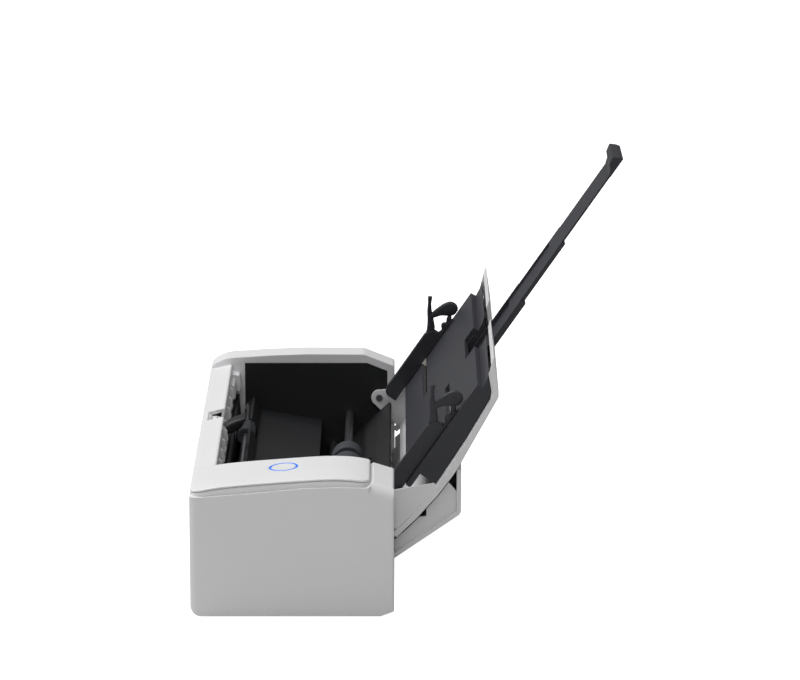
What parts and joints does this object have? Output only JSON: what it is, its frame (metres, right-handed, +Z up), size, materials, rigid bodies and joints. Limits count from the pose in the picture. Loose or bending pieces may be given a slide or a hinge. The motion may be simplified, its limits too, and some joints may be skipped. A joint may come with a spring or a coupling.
{
  "type": "sheet-fed document scanner",
  "caption": "Compact sheet-fed document scanner: folding paper chute with side guides and telescoping paper support, driven rollers, lit scan button.",
  "frame": {"origin": "on the table, under the middle of the body", "axes": "+X is the user's right along the body, +Y the rear where the chute opens, +Z up"},
  "size_m": [0.296, 0.2465, 0.234],
  "materials": {
    "white_abs": "satin, fine moulded grain",
    "black_abs": "matt, fine moulded grain",
    "charcoal_abs": "matt, fine moulded grain",
    "acetal": "natural, slightly waxy",
    "steel": "ground shaft steel",
    "roller_rubber": "ground, matt",
    "foot_rubber": "matt",
    "roller_plastic": "matt",
    "blue_lens": "lit light guide",
    "sensor_glass": "polished",
    "motor_steel": "zinc plated",
    "circuit_board": "solder mask",
    "port_metal": "nickel plated",
    "port_plastic": "matt"
  },
  "bodies": {
    "base": {"base_tray": "white_abs", "rubber_feet": "foot_rubber", "right_end_cap": "white_abs", "left_end_cap": "white_abs", "right_inner_panel": "black_abs", "left_inner_panel": "black_abs", "front_cover": "white_abs", "tongue_bracket": "white_abs", "button_panel": "white_abs", "led_ring": "blue_lens", "hinge_pins": "steel", "lower_guide": "black_abs", "upper_frame": "black_abs", "upper_sensor": "black_abs", "lower_sensor": "black_abs", "upper_glass": "sensor_glass", "lower_glass": "sensor_glass", "retard_axle": "steel", "feed_pinch_axle": "steel", "eject_pinch_axle": "steel", "gear_pins": "steel", "motor": "motor_steel", "main_board": "circuit_board", "button_board": "circuit_board", "usb_port": "port_metal", "dc_inlet": "port_plastic", "case_screws": "steel"},
    "chute": {"chute_shell": "white_abs", "chute_liner": "charcoal_abs"},
    "rear_cover": {"rear_cover": "white_abs"},
    "near_guide": {"near_guide": "charcoal_abs", "near_guide_arm": "charcoal_abs", "near_arm_pin": "charcoal_abs", "near_rack": "acetal"},
    "far_guide": {"far_guide": "charcoal_abs", "far_guide_arm": "charcoal_abs", "far_arm_pin": "charcoal_abs", "far_rack": "acetal"},
    "guide_pinion": {"guide_pinion": "acetal"},
    "lower_extension": {"lower_extension": "charcoal_abs"},
    "middle_extension": {"middle_extension": "charcoal_abs"},
    "upper_extension": {"upper_extension": "charcoal_abs", "extension_stop": "charcoal_abs"},
    "exit_tongue": {"exit_tongue": "black_abs"},
    "scan_button": {"scan_button": "white_abs"},
    "reduction_gear": {"reduction_gear": "acetal"},
    "motor_pinion": {"motor_pinion": "acetal"},
    "idler_gear": {"idler_gear": "acetal"},
    "feed_roller": {"feed_shaft": "steel", "feed_tyres": "roller_rubber", "feed_gear": "acetal"},
    "eject_roller": {"eject_shaft": "steel", "eject_tyres": "roller_rubber", "eject_gear": "acetal"},
    "pick_roller": {"pick_shaft": "steel", "pick_tyres": "roller_rubber", "pick_gear": "acetal"},
    "retard_roller": {"retard_roller": "roller_rubber"},
    "feed_pinch": {"feed_pinch_rollers": "roller_plastic"},
    "eject_pinch": {"eject_pinch_rollers": "roller_plastic"}
  },
  "joints": [
    {"name": "chute_fold", "type": "hinge", "parent": "base", "child": "chute", "pos_m": [0, 0.0475, 0.0551], "axis": [1, 0, 0], "range_deg": [0, 118.3]},
    {"name": "rear_cover_fold", "type": "hinge", "parent": "base", "child": "rear_cover", "pos_m": [0, 0.0545, 0.0155], "axis": [1, 0, 0], "range_deg": [0, 34.5]},
    {"name": "near_guide_slide", "type": "slide", "parent": "chute", "child": "near_guide", "axis": [1, 0, 0], "range_m": [-0.0779, 0.0026]},
    {"name": "far_guide_slide", "type": "slide", "parent": "chute", "child": "far_guide", "axis": [1, 0, 0], "range_m": [-0.0026, 0.0779]},
    {"name": "guide_pinion_spin", "type": "hinge", "parent": "chute", "child": "guide_pinion", "pos_m": [-0.0135, 0.08153, 0.08949], "axis": [0, -0.8231, 0.5678], "range_deg": [-18.7, 558.2]},
    {"name": "lower_extension_slide", "type": "slide", "parent": "chute", "child": "lower_extension", "axis": [0, -0.5678, -0.8231], "range_m": [0, 0.042]},
    {"name": "middle_extension_slide", "type": "slide", "parent": "lower_extension", "child": "middle_extension", "axis": [0, -0.5678, -0.8231], "range_m": [0, 0.042]},
    {"name": "upper_extension_slide", "type": "slide", "parent": "middle_extension", "child": "upper_extension", "axis": [0, -0.5678, -0.8231], "range_m": [0, 0.042]},
    {"name": "exit_tongue_lift", "type": "hinge", "parent": "base", "child": "exit_tongue", "pos_m": [0, -0.0442, 0.0644], "axis": [1, 0, 0], "range_deg": [0, 20], "stiffness_Nm_per_rad": 0.01},
    {"name": "scan_button_press", "type": "slide", "parent": "base", "child": "scan_button", "axis": [0, 0, -1], "range_m": [0, 0.0008], "stiffness_N_per_m": 600},
    {"name": "reduction_spin", "type": "hinge", "parent": "base", "child": "reduction_gear", "pos_m": [0, -0.01067, 0.02928], "axis": [1, 0, 0], "continuous": true},
    {"name": "motor_spin", "type": "hinge", "parent": "base", "child": "motor_pinion", "pos_m": [0, -0.03614, 0.0174], "axis": [1, 0, 0], "continuous": true},
    {"name": "idler_spin", "type": "hinge", "parent": "base", "child": "idler_gear", "pos_m": [0, 0.03561, 0.02825], "axis": [1, 0, 0], "continuous": true},
    {"name": "feed_spin", "type": "hinge", "parent": "base", "child": "feed_roller", "pos_m": [0, 0.019, 0.0242], "axis": [1, 0, 0], "continuous": true},
    {"name": "eject_spin", "type": "hinge", "parent": "base", "child": "eject_roller", "pos_m": [0, -0.0325, 0.05], "axis": [1, 0, 0], "continuous": true},
    {"name": "pick_spin", "type": "hinge", "parent": "base", "child": "pick_roller", "pos_m": [0, 0.0292, 0.0441], "axis": [1, 0, 0], "continuous": true},
    {"name": "retard_spin", "type": "hinge", "parent": "base", "child": "retard_roller", "pos_m": [0, 0.0404, 0.0333], "axis": [1, 0, 0], "continuous": true},
    {"name": "feed_pinch_spin", "type": "hinge", "parent": "base", "child": "feed_pinch", "pos_m": [0, 0.019, 0.0126], "axis": [1, 0, 0], "continuous": true},
    {"name": "eject_pinch_spin", "type": "hinge", "parent": "base", "child": "eject_pinch", "pos_m": [0, -0.0432, 0.05], "axis": [1, 0, 0], "continuous": true}
  ],
  "couplings": [
    {"joint": "rear_cover_fold", "follows": "chute_fold", "ratio": 0.29163},
    {"joint": "far_guide_slide", "follows": "near_guide_slide", "ratio": -1},
    {"joint": "guide_pinion_spin", "follows": "near_guide_slide", "rad_per_m": -125},
    {"joint": "motor_spin", "follows": "reduction_spin", "ratio": -3.6667},
    {"joint": "idler_spin", "follows": "reduction_spin", "ratio": 2.4444},
    {"joint": "feed_spin", "follows": "reduction_spin", "ratio": -2.75},
    {"joint": "eject_spin", "follows": "reduction_spin", "ratio": -2.75},
    {"joint": "pick_spin", "follows": "reduction_spin", "ratio": -2.75}
  ]
}
